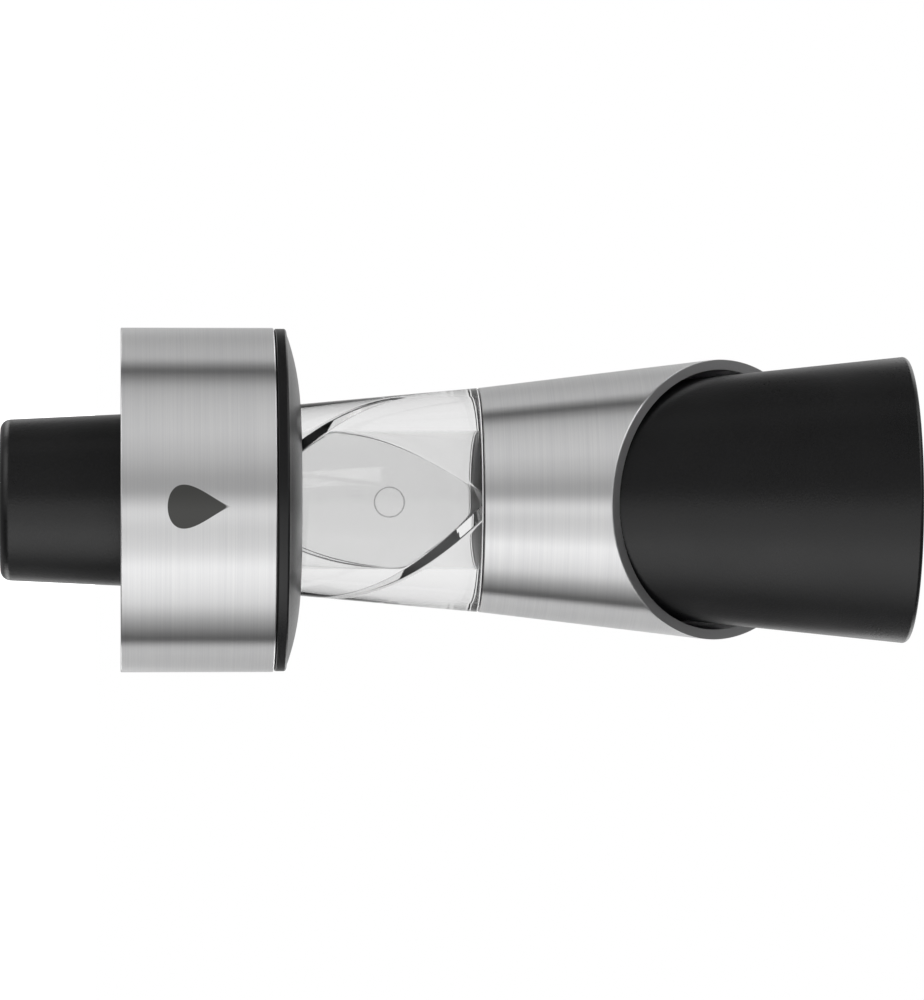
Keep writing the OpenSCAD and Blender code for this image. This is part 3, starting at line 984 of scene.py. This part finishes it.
        # The level band, and the walls above and below it
        level = {"operation": "MULTIPLY", 0: facing, 1: (1, 1, 0)}
        level = add(tree, "ShaderNodeVectorMath", level)
        reach = {"operation": "LENGTH", 0: level}
        reach = add(tree, "ShaderNodeVectorMath", reach).outputs["Value"]
        up = add(tree, "ShaderNodeSeparateXYZ", {"Vector": facing}).outputs["Z"]
        tilt = add(tree, "ShaderNodeMath", {"operation": "DIVIDE", 0: up, 1: reach})
        above = add(tree, "ShaderNodeMath", {"operation": "SUBTRACT", 0: tilt, 1: BAND_MIDDLE})
        off = add(tree, "ShaderNodeMath", {"operation": "ABSOLUTE", 0: above})
        rise = {0: off, 1: BAND_EDGE[0], 2: BAND_EDGE[1], 3: 0.0, 4: 1.0}
        rise = add(tree, "ShaderNodeMapRange", rise)
        wall = add(tree, "ShaderNodeMix", {0: rise, 2: low, 3: high})
        # Well above it the tent is one even grey, and well below it a darker one
        over = add(tree, "ShaderNodeMapRange", {0: tilt, 1: 0.7, 2: 1.3, 3: 0.0, 4: 1.0})
        wall = add(tree, "ShaderNodeMix", {0: over, 2: wall, 3: HIGH_WALL / BRIGHTEST_WALL})
        under = add(tree, "ShaderNodeMapRange", {0: tilt, 1: -0.9, 2: -0.5, 3: 1.0, 4: 0.0})
        wall = add(tree, "ShaderNodeMix", {0: under, 2: wall, 3: FOOT_WALL / BRIGHTEST_WALL})
        z = add(tree, "ShaderNodeSeparateXYZ", {"Vector": place}).outputs["Z"]
        ceiling = add(tree, "ShaderNodeMapRange", {0: z, 1: 1.3, 2: 2.0, 3: 0.0, 4: 1.0})
        grey = add(tree, "ShaderNodeMix", {0: ceiling, 2: wall, 3: CEILING / BRIGHTEST_WALL})
        light = add(tree, "ShaderNodeEmission", {"Color": grey, "Strength": BRIGHTEST_WALL})
        add(tree, "ShaderNodeOutputMaterial", {"Surface": light})
        material.cycles.emission_sampling = "NONE"
        return material

    def add_lamp(self, studio):
        """A large soft lamp in front of the pourer, to one side and above it."""
        bpy.ops.object.light_add(type="AREA", radius=1)
        lamp = bpy.context.object
        lamp.name = "key_lamp"
        round_axis = Matrix.Rotation(studio.key_turn, 4, "Z")
        place = round_axis @ Vector((0, -studio.key_distance, studio.key_height))
        aim = TENT_MIDDLE - place
        looks = aim.to_track_quat("-Z", "Y").to_matrix().to_4x4()
        lamp.matrix_world = Matrix.Translation(place) @ looks
        lamp.data.size = studio.key_size
        lamp.data.energy = studio.key_power
        lamp.visible_glossy = False


class POURER_PT_sidebar(bpy.types.Panel):
    """Lists the pourer's pieces and their sizes."""

    bl_idname = "POURER_PT_sidebar"
    bl_label = "Wine Pourer"
    bl_space_type = "VIEW_3D"
    bl_region_type = "UI"
    bl_category = "Wine Pourer"

    def draw(self, context):
        for step in STEPS:
            self.layout.operator(step.bl_idname)
        scene = context.scene
        for group in (scene.pourer_sizes, scene.pourer_finish, scene.pourer_studio):
            box = self.layout.box()
            for name in group.bl_rna.properties.keys():
                if name not in ("rna_type", "name"):
                    box.prop(group, name)


GROUPS = (PourerSizes, PourerFinish, PourerStudio)
STEPS = (
    POURER_OT_stopper,
    POURER_OT_ring,
    POURER_OT_cap,
    POURER_OT_chamber,
    POURER_OT_funnel,
    POURER_OT_sleeve,
    POURER_OT_inner_pieces,
    POURER_OT_stage,
)


def register():
    for item in (*GROUPS, *STEPS, POURER_PT_sidebar):
        bpy.utils.register_class(item)
    bpy.types.Scene.pourer_sizes = bpy.props.PointerProperty(type=PourerSizes)
    bpy.types.Scene.pourer_finish = bpy.props.PointerProperty(type=PourerFinish)
    bpy.types.Scene.pourer_studio = bpy.props.PointerProperty(type=PourerStudio)


def unregister():
    del bpy.types.Scene.pourer_studio
    del bpy.types.Scene.pourer_finish
    del bpy.types.Scene.pourer_sizes
    for item in (POURER_PT_sidebar, *reversed(STEPS), *reversed(GROUPS)):
        bpy.utils.unregister_class(item)


def main():
    """Makes the whole pourer and its stage."""
    register()
    bpy.ops.pourer.stopper()
    bpy.ops.pourer.ring()
    bpy.ops.pourer.cap()
    bpy.ops.pourer.chamber()
    bpy.ops.pourer.funnel()
    bpy.ops.pourer.sleeve()
    bpy.ops.pourer.inner_pieces()
    bpy.ops.pourer.stage()


if __name__ == "__main__":
    main()
